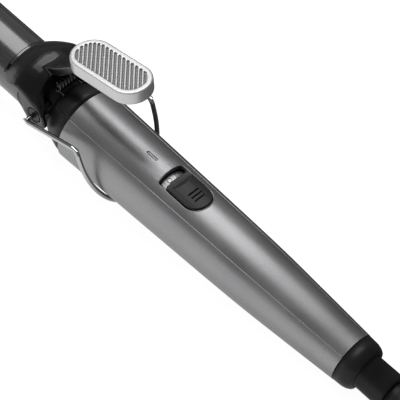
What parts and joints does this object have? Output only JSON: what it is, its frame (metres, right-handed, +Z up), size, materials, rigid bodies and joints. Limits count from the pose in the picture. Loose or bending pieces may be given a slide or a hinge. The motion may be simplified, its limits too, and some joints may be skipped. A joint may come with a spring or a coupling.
{
  "type": "curling iron",
  "caption": "Curling iron with a round coated barrel, a sprung clip worked by a ribbed thumb pad, a wire stand, a tapered silver handle with a slide switch, and a swivelling mains lead.",
  "frame": {"origin": "on the surface that the iron rests on, under the middle of the iron without its lead", "axes": "+Z up, +X towards the cord end with the iron lying on its wire stand, +Y to the right seen from the cord end looking at the barrel tip"},
  "size_m": [0.5706, 0.0566, 0.0728],
  "materials": {
    "silver_lacquer": "satin metallic lacquer",
    "gloss_black": "polished black",
    "satin_black": "satin black",
    "coated_barrel": "smooth dark ceramic coating",
    "chrome": "polished",
    "steel": "plain",
    "pad_silver": "satin pale silver",
    "dark_grey": "matte dark grey",
    "rubber": "satin black",
    "board": "green board",
    "brass": "plain",
    "ceramic": "white ceramic and glass-fibre sleeve",
    "aluminium": "plain",
    "lens": "clear light guide"
  },
  "bodies": {
    "iron": {"handle_upper_shell": "silver_lacquer", "handle_lower_shell": "silver_lacquer", "barrel_neck": "satin_black", "barrel_tip": "satin_black", "front_collar_upper": "satin_black", "front_collar_lower": "satin_black", "rear_cap": "satin_black", "switch_body": "satin_black", "plug_body": "satin_black", "barrel_tube": "coated_barrel", "clip_spring": "chrome", "hinge_pin_right": "steel", "hinge_pin_left": "steel", "shell_screw_front": "steel", "shell_screw_rear": "steel", "switch_label_plate": "pad_silver", "hank_strap": "dark_grey", "smoothing_capacitor": "dark_grey", "strain_relief": "rubber", "power_cord": "rubber", "cord_hank": "rubber", "cord_tail": "rubber", "circuit_board": "board", "swivel_retainer": "brass", "plug_pin_right": "brass", "plug_pin_left": "brass", "heater_element": "ceramic", "heater_lead_live": "ceramic", "heater_lead_neutral": "ceramic", "mains_lead_live": "ceramic", "mains_lead_neutral": "ceramic", "thermal_fuse": "ceramic", "heater_clamp_upper": "aluminium", "heater_clamp_lower": "aluminium", "light_guide": "lens", "indicator_lamp": "lens"},
    "clip_lever": {"clip": "coated_barrel", "clip_hood": "gloss_black", "thumb_pad": "pad_silver"},
    "stand": {"stand": "chrome"},
    "switch": {"switch_slider": "dark_grey"},
    "swivel": {"swivel_sleeve": "satin_black"}
  },
  "joints": [
    {"name": "clip_hinge", "type": "hinge", "parent": "iron", "child": "clip_lever", "pos_m": [-0.00391, 0, 0.02934], "axis": [0, 1, 0], "range_deg": [0, 20], "stiffness_Nm_per_rad": 0.35, "springref_deg": -20.05, "deforming": ["clip_spring"]},
    {"name": "stand_hinge", "type": "hinge", "parent": "iron", "child": "stand", "pos_m": [-0.00391, 0, 0.02934], "axis": [0, 1, 0], "range_deg": [0, 116]},
    {"name": "switch_slide", "type": "slide", "parent": "iron", "child": "switch", "axis": [-0.9976, 0, 0.0691], "range_m": [0, 0.0035]},
    {"name": "cord_swivel", "type": "hinge", "parent": "iron", "child": "swivel", "pos_m": [0.18409, 0, 0.0098], "axis": [0.9976, 0, -0.0691], "continuous": true}
  ]
}
